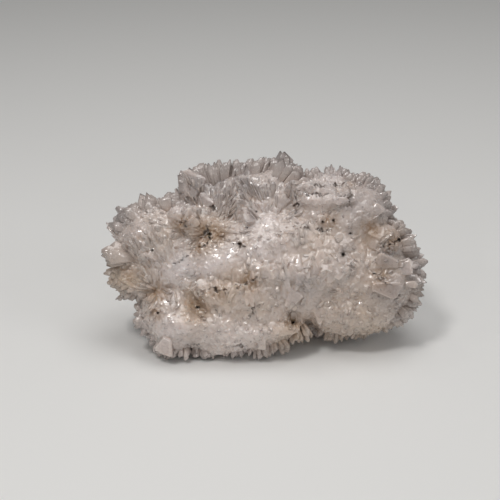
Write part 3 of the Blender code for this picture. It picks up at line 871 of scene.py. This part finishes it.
def coarsen(obj, faces):
    """Brings the object down to a number of triangles."""
    triangles = sum(len(p.vertices) - 2 for p in obj.data.polygons)
    thin = obj.modifiers.new("thin", "DECIMATE")
    thin.ratio = min(1.0, faces / triangles)
    apply_modifiers(obj)


def split_front(body):
    """Parts the body into its front and its back, which reach a little into each other."""
    make_active(body)
    bpy.ops.object.duplicate()
    back = bpy.context.object
    for obj, side in ((body, -1), (back, 1)):
        deselect_all()
        edge = (SPLIT_AT + side * OVERLAP) * MM
        bpy.ops.mesh.primitive_cube_add(size=BLOCK, location=(0, 0, edge + side * 0.5 * BLOCK))
        subtract(obj, [bpy.context.object])
    return body, back


def hollow_values(mesh, turns):
    """How hollow the surface is at each corner, from 0 to 1, by how far its neighbours stand above it."""
    places = read_vectors(mesh, "co")
    normal = read_vectors(mesh, "normal")
    edges = np.empty(len(mesh.edges) * 2, dtype=np.int32)
    mesh.edges.foreach_get("vertices", edges)
    a, b = edges.reshape(-1, 2).T
    count = len(places)
    degree = np.maximum(np.bincount(a, minlength=count) + np.bincount(b, minlength=count), 1)
    smooth = places.copy()
    for _ in range(turns):
        total = [
            np.bincount(a, smooth[b, k], count) + np.bincount(b, smooth[a, k], count) for k in range(3)
        ]
        smooth = np.stack(total, 1) / degree[:, None]
    depth = ((smooth - places) * normal).sum(1)
    return np.clip(depth / (0.25 * MM), 0, 1)


def scatter(mesh, spacing, dice):
    """Places spread over a mesh's surface, none nearer to another than spacing, each with its normal."""
    mesh.calc_loop_triangles()
    tris = mesh.loop_triangles
    areas = np.array([t.area for t in tris])
    share = np.cumsum(areas) / areas.sum()
    wanted = int(4 * areas.sum() / spacing ** 2)
    picker = np.random.default_rng(dice.randrange(1 << 30))
    picked = np.searchsorted(share, picker.random(wanted))
    weights = picker.dirichlet((1, 1, 1), wanted)
    cells = {}
    found = []
    steps = [(i, j, k) for i in (-1, 0, 1) for j in (-1, 0, 1) for k in (-1, 0, 1)]
    for index, weight in zip(picked, weights):
        tri = tris[min(int(index), len(tris) - 1)]
        place = Vector((0, 0, 0))
        for corner, part in zip(tri.vertices, weight):
            place += mesh.vertices[corner].co * float(part)
        x, y, z = (math.floor(c / spacing) for c in place)
        near = (cells.get((x + i, y + j, z + k)) for i, j, k in steps)
        if any(n is not None and (n - place).length < spacing for n in near):
            continue
        cells[(x, y, z)] = place
        found.append((place / MM, tri.normal.copy()))
    return found


def calm_at(place):
    """How calm the surface is at a place, from 0 to 1."""
    if place.z < CALM_ENDS:
        return 0.0
    return max(
        calm * math.exp(-((place.x - u) ** 2 + (place.y - v) ** 2) / spread ** 2)
        for u, v, spread, calm in CALM
    )


def clear_of_holes(place):
    """Whether a place keeps clear of the pits and the cracks, which stay open."""
    if place.z < HOLES_END:
        return True
    spot = Vector((place.x, place.y))
    for u, v, width in PITS:
        if (spot - Vector((u, v))).length < 0.8 * width + 0.4:
            return False
    for u0, v0, u1, v1, width in CRACKS:
        start, end = Vector((u0, v0)), Vector((u1, v1))
        share = intersect_point_line(spot, start, end)[1]
        nearest = start.lerp(end, min(1.0, max(0.0, share)))
        if (spot + Vector(wander(*spot)) - nearest).length < 0.5 * width + 0.3:
            return False
    return True


def spray_of(place):
    """The spray that a place on the surface belongs to: the nearest one on its side of the cluster."""
    sprays = FRONT_SPRAYS if place.z > SPLIT_AT else BACK_SPRAYS
    return min(sprays, key=lambda s: (place - Vector((s.u, s.v, s.w))).length_squared)


def spray_places(found, size, stand, wildness, dice):
    """The crystals that grow out of the surface at the places found, in sprays.

    size and stand are shares of what each spray's own crystals have. wildness is how much they stray.
    """
    places = []
    for place, normal in found:
        spray = spray_of(place)
        if spray.level:
            away = Vector((dice.gauss(0, 0.35), dice.choice((-1, -1, 1)), 0))
            away -= away.dot(normal) * normal
        else:
            away = place - Vector((spray.u, spray.v, spray.w))
        away.normalize()
        jitter = spray.stray * wildness * random_vector(dice)
        along = (away + normal * spray.lean + jitter).normalized()
        lift = along.dot(normal)
        if lift < 0.08:
            along = (along + normal * (0.1 - lift)).normalized()
            lift = along.dot(normal)
        across = normal.cross(along)
        if across.length < 0.1:
            across = random_vector(dice)
        across = (across - across.dot(along) * along).normalized()
        across = rotation(dice.gauss(0, spray.roll * wildness), along) @ across
        grown = size * min(2.0, max(0.5, dice.lognormvariate(-0.1, 0.35)))
        height = spray.stand * stand * dice.uniform(0.3, 1.3) * (1 - calm_at(place))
        width = spray.width * grown
        thick = spray.thick * size * dice.uniform(0.7, 1.25)
        length = spray.length * size * dice.uniform(0.8, 1.2)
        end = place + along * min(height / lift, 0.6 * length)
        shape = dice.choice((1, 2, 4)) if spray.level else dice.choice((0, 0, 1, 1, 2, 3, 4))
        places.append(Place(shape, end, along, across, width, thick, length, dice.random()))
    return places


def barite_material(name, finish, gloss, milkiness):
    """Milky barite: warm white to grey, browner in its hollows, with glossy crystals; painted shade darkens
    its cracks, pits and grey spots, and painted light whitens its back.
    """
    material = bpy.data.materials.new(name)
    material.use_nodes = True
    nodes = material.node_tree.nodes
    links = material.node_tree.links
    shader = nodes["Principled BSDF"]
    where = nodes.new("ShaderNodeTexCoord").outputs["Object"]

    def noise(scale, detail):
        node = nodes.new("ShaderNodeTexNoise")
        node.inputs["Scale"].default_value = scale
        node.inputs["Detail"].default_value = detail
        links.new(where, node.inputs["Vector"])
        return node.outputs["Fac"]

    def cells(scale):
        node = nodes.new("ShaderNodeTexVoronoi")
        node.inputs["Scale"].default_value = scale
        links.new(where, node.inputs["Vector"])
        return node

    def ramp(value, low, high, least=0.0, most=1.0):
        node = nodes.new("ShaderNodeMapRange")
        node.inputs["From Min"].default_value = low
        node.inputs["From Max"].default_value = high
        node.inputs["To Min"].default_value = least
        node.inputs["To Max"].default_value = most
        links.new(value, node.inputs["Value"])
        return node.outputs["Result"]

    def math_node(operation, a, b):
        node = nodes.new("ShaderNodeMath")
        node.operation = operation
        node.use_clamp = True
        for socket, value in zip(node.inputs, (a, b)):
            if isinstance(value, float):
                socket.default_value = value
            else:
                links.new(value, socket)
        return node.outputs[0]

    def mix(factor, a, b):
        node = nodes.new("ShaderNodeMix")
        node.data_type = "RGBA"
        links.new(factor, node.inputs[0])
        for socket, value in ((node.inputs[6], a), (node.inputs[7], b)):
            if isinstance(value, bpy.types.NodeSocket):
                links.new(value, socket)
            else:
                socket.default_value = (*value, 1)
        return node.outputs[2]

    def attribute(key):
        node = nodes.new("ShaderNodeAttribute")
        node.attribute_name = key
        return node.outputs["Fac"]

    patches = ramp(noise(70, 3), 0.36, 0.60, 0.35, 1.0)
    speckle = ramp(noise(600, 3), 0.40, 0.66)
    hollow = attribute("hollow")
    # Whiter where the crystals are whitest, and over the back as painted light.
    base = mix(attribute("white_and_painted_light"), finish.milk, finish.white_and_painted_light)
    base = mix(math_node("MULTIPLY", attribute("warm"), patches), base, finish.warm)
    # The grey of clear crystal and painted shade, in the grey-and-shade spots.
    base = mix(math_node("MULTIPLY", attribute("grey_and_shade"), patches), base, finish.grey_and_shade)
    base = mix(math_node("MULTIPLY", hollow, 0.35), base, finish.warm)
    tone = nodes.new("ShaderNodeSeparateColor")
    links.new(cells(380).outputs["Color"], tone.inputs["Color"])
    base = mix(math_node("MULTIPLY", tone.outputs["Red"], 0.22), base, finish.grey_and_shade)
    base = mix(math_node("MULTIPLY", attribute("gloss"), 0.22), base, finish.grey_and_shade)
    stained = math_node("ADD", math_node("MULTIPLY", hollow, 0.9), ramp(speckle, 0.0, 1.0, 0.45, 1.0))
    base = mix(math_node("MULTIPLY", attribute("stain"), stained), base, finish.stain)
    # Painted shade, with a brown iron tint, in the cracks and the pits.
    crack_shade_and_stain = math_node("MULTIPLY", attribute("gap"), ramp(noise(450, 2), 0.36, 0.56, 0.3, 1.0))
    base = mix(crack_shade_and_stain, base, finish.crevice_shade_and_stain)
    links.new(base, shader.inputs["Base Color"])
    bump = nodes.new("ShaderNodeBump")
    bump.inputs["Strength"].default_value = 0.3
    bump.inputs["Distance"].default_value = 0.3 * MM
    links.new(cells(800).outputs["Distance"], bump.inputs["Height"])
    links.new(bump.outputs["Normal"], shader.inputs["Normal"])
    grain = ramp(noise(900, 2), 0.3, 0.7, gloss, gloss + 0.3)
    rough = math_node("SUBTRACT", grain, math_node("MULTIPLY", attribute("gloss"), 0.2))
    links.new(rough, shader.inputs["Roughness"])
    dry = math_node("SUBTRACT", 1.0, attribute("gap"))
    coat = math_node("MULTIPLY", ramp(noise(260, 2), 0.35, 0.65, 0.35, 1.0), dry)
    links.new(coat, shader.inputs["Coat Weight"])
    if milkiness < 0.5:
        clear = ramp(attribute("along"), 0.5, 1.0, 0.0, 0.3)
        links.new(clear, shader.inputs["Transmission Weight"])
    shader.inputs["IOR"].default_value = 1.63
    shader.inputs["Coat IOR"].default_value = 1.6
    shader.inputs["Coat Roughness"].default_value = 0.11
    shader.inputs["Subsurface Weight"].default_value = milkiness
    shader.inputs["Subsurface Radius"].default_value = (1.0, 0.93, 0.87)
    shader.inputs["Subsurface Scale"].default_value = 3.0 * MM
    return material


def place_piece(piece, material):
    """Dresses a finished piece and ties it to the part's one body, in place of the plain solid."""
    piece.data.materials.clear()
    piece.data.materials.append(material)
    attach(piece, "root")
    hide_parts(NODE)


def shared_material(name, milkiness):
    found = bpy.data.materials.get(name)
    return found or barite_material(name, bpy.context.scene.barite_finish, 0.22, milkiness)


class BARITE_OT_body(bpy.types.Operator):
    """Model the massive body, with the crystals that are fused in it, its cracks and its pits"""

    bl_idname = "barite.body"
    bl_label = "Massive Body"

    def execute(self, context):
        settings = context.scene.barite_shape
        dice = random.Random(settings.seed)
        body = model_lumps()
        shapes = crystal_shapes()
        surface = surface_of(body)
        places = spray_places(scatter(body.data, settings.spacing, dice), 1.0, 1.0, 1.0, dice)
        places += plate_places(surface, dice)
        found = scatter(body.data, settings.druse_spacing, dice)
        found = [f for f in found if dice.random() < spray_of(f[0]).druse * (1 - calm_at(f[0]))]
        places += spray_places(found, 0.5, 0.8, 1.4, dice)
        crystals = joined_crystals("crystals", places, shapes)
        body = join([body, crystals], "massive_body")
        fuse(body, settings.voxel, 0)
        surface = surface_of(body)
        cutters = [pit_cutter(surface, *pit) for pit in PITS]
        for crack in CRACKS:
            cutters += crack_cutters(surface, crack, dice)
        subtract(body, cutters)
        cut_floor(body)
        front, back = split_front(body)
        coarsen(front, settings.front_faces)
        coarsen(back, settings.back_faces)
        front.name = "body_front"
        back.name = "body_back"
        for part in (front, back):
            for key in ("along", "gloss"):
                if key in part.data.attributes:
                    part.data.attributes.remove(part.data.attributes[key])
            add_zones(part.data)
            stand_up(part)
            add_value(part.data, "hollow", hollow_values(part.data, 8))
            add_value(part.data, "gloss", np.full(len(part.data.vertices), 0.3))
            place_piece(part, shared_material("massive_barite", 1.0))
        return {"FINISHED"}


class BARITE_OT_edge_fans(bpy.types.Operator):
    """Grow the fans of crystals round the edge of the face"""

    bl_idname = "barite.edge_fans"
    bl_label = "Edge Fans"

    def execute(self, context):
        dice = random.Random(context.scene.barite_shape.seed + 1)
        shapes = crystal_shapes()
        groups = {
            "crown_fans": CROWN_FANS,
            "right_fans": RIGHT_FANS,
            "foot_fans": FOOT_FANS,
            "left_fans": LEFT_FANS,
        }
        for name, fans in groups.items():
            finish_crystals(joined_crystals(name, above_floor(fan_places(fans, dice)), shapes))
        return {"FINISHED"}


def finish_crystals(piece):
    """Stores what the material needs, stands the piece up and dresses it."""
    mesh = piece.data
    add_zones(mesh)
    along = np.empty(len(mesh.vertices), dtype=np.float32)
    mesh.attributes["along"].data.foreach_get("value", along)
    add_value(mesh, "hollow", np.clip(0.9 - 1.3 * along, 0, 1))
    stand_up(piece)
    place_piece(piece, shared_material("barite_crystal", 0.0))


class BARITE_OT_free_crystals(bpy.types.Operator):
    """Grow the crystals that stand free on the body"""

    bl_idname = "barite.free_crystals"
    bl_label = "Free Crystals"

    def execute(self, context):
        settings = context.scene.barite_shape
        dice = random.Random(settings.seed + 2)
        shapes = crystal_shapes()
        for key in ("front", "back"):
            lying = bpy.data.objects["body_" + key].data.copy()
            lying.transform(FACE_TO_ROW.inverted())
            found = scatter(lying, settings.free_spacing, dice)
            bpy.data.meshes.remove(lying)
            found = [
                (place, normal)
                for place, normal in found
                if abs(normal.z) < 0.999 and dice.random() < spray_of(place).cover and clear_of_holes(place)
            ]
            places = above_floor(spray_places(found, 0.65, 1.1, 1.3, dice))
            finish_crystals(joined_crystals(key + "_crystals", places, shapes))
        return {"FINISHED"}


def aim(obj, target):
    obj.rotation_euler = (Vector(target) - obj.location).to_track_quat("-Z", "Y").to_euler()


def add_soft_light(name, place, target, size, power, colour):
    lamp = bpy.data.lights.new(name, "AREA")
    lamp.shape = "DISK"
    lamp.size = size
    lamp.energy = power
    lamp.color = colour
    light = bpy.data.objects.new(name, lamp)
    bpy.context.scene.collection.objects.link(light)
    light.location = place
    aim(light, target)
    return light


# Small bright lights that make single crystal faces flash.
GLINT_LIGHTS = (
    (-0.35, -0.65, 0.45),
    (0.10, -0.60, 0.75),
    (0.55, -0.45, 0.60),
    (0.25, -0.75, 0.35),
    (-0.60, -0.30, 0.55),
    (-0.10, -0.75, 0.50),
    (0.40, -0.20, 0.80),
    (-0.30, 0.25, 0.75),
)
GLINT_SIZE = 0.03
# The power of each, as a share of the key light's setting.
GLINT_SHARE = 0.05
# How far the camera stands from the middle of the face, in metres.
CAMERA_DISTANCE = 0.4936


class BARITE_OT_stage(bpy.types.Operator):
    """Set the pale floor, the soft lights and the camera"""

    bl_idname = "barite.stage"
    bl_label = "Stage"

    def execute(self, context):
        settings = context.scene.barite_stage
        deselect_all()
        bpy.ops.mesh.primitive_plane_add(size=6, location=(0, 0, 0))
        floor = context.object
        floor.name = "pale_floor"
        material = bpy.data.materials.new("pale_floor")
        material.use_nodes = True
        shader = material.node_tree.nodes["Principled BSDF"]
        shader.inputs["Base Color"].default_value = (*settings.floor_colour, 1)
        shader.inputs["Roughness"].default_value = 0.7
        floor.data.materials.append(material)
        world = bpy.data.worlds.new("soft_room")
        world.use_nodes = True
        world.node_tree.nodes["Background"].inputs["Color"].default_value = (1.0, 0.99, 0.97, 1)
        world.node_tree.nodes["Background"].inputs["Strength"].default_value = 0.18
        context.scene.world = world
        middle = (0, 0, 0.04)
        power = settings.key_power
        add_soft_light("key", (-0.25, -0.30, 0.75), middle, 0.16, 0.75 * power, (1.0, 0.98, 0.96))
        add_soft_light("sky", (0.10, 0.05, 0.90), middle, 0.60, 0.9 * power, (1.0, 0.99, 0.98))
        add_soft_light("side", (0.70, -0.35, 0.40), middle, 0.25, 0.2 * power, (1.0, 1.0, 1.0))
        for k, place in enumerate(GLINT_LIGHTS):
            add_soft_light(f"glint_{k}", place, middle, GLINT_SIZE, GLINT_SHARE * power, (1.0, 1.0, 1.0))
        camera = bpy.data.cameras.new("camera")
        camera.lens = 85
        camera.sensor_width = 36
        view = bpy.data.objects.new("camera", camera)
        context.scene.collection.objects.link(view)
        outward = Vector((0, -math.cos(LEAN_BACK), math.sin(LEAN_BACK)))
        up = Vector((0, math.sin(LEAN_BACK), math.cos(LEAN_BACK)))
        aimed = Vector((-6.5 * MM, 0, 0)) + up * 32.9 * MM + outward * 13 * MM
        view.location = aimed + outward * CAMERA_DISTANCE
        aim(view, aimed)
        context.scene.camera = view
        context.scene.view_settings.view_transform = "Standard"
        return {"FINISHED"}


class BARITE_PT_panel(bpy.types.Panel):
    """Lists the steps that make the cluster"""

    bl_idname = "BARITE_PT_panel"
    bl_label = "Barite Cluster"
    bl_space_type = "VIEW_3D"
    bl_region_type = "UI"
    bl_category = "Barite"

    def draw(self, context):
        column = self.layout.column()
        for group in (context.scene.barite_shape, context.scene.barite_finish, context.scene.barite_stage):
            for key in group.__annotations__:
                column.prop(group, key)
        for step in STEPS:
            column.operator(step)


STEPS = ("barite.body", "barite.edge_fans", "barite.free_crystals", "barite.stage")
CLASSES = (
    BariteShape,
    BariteFinish,
    BariteStage,
    BARITE_OT_body,
    BARITE_OT_edge_fans,
    BARITE_OT_free_crystals,
    BARITE_OT_stage,
    BARITE_PT_panel,
)


def register():
    for cls in CLASSES:
        bpy.utils.register_class(cls)
    bpy.types.Scene.barite_shape = bpy.props.PointerProperty(type=BariteShape)
    bpy.types.Scene.barite_finish = bpy.props.PointerProperty(type=BariteFinish)
    bpy.types.Scene.barite_stage = bpy.props.PointerProperty(type=BariteStage)


def unregister():
    del bpy.types.Scene.barite_stage
    del bpy.types.Scene.barite_finish
    del bpy.types.Scene.barite_shape
    for cls in reversed(CLASSES):
        bpy.utils.unregister_class(cls)


def main():
    register()
    bpy.ops.barite.body()
    bpy.ops.barite.edge_fans()
    bpy.ops.barite.free_crystals()
    bpy.ops.barite.stage()


if __name__ == "__main__":
    main()
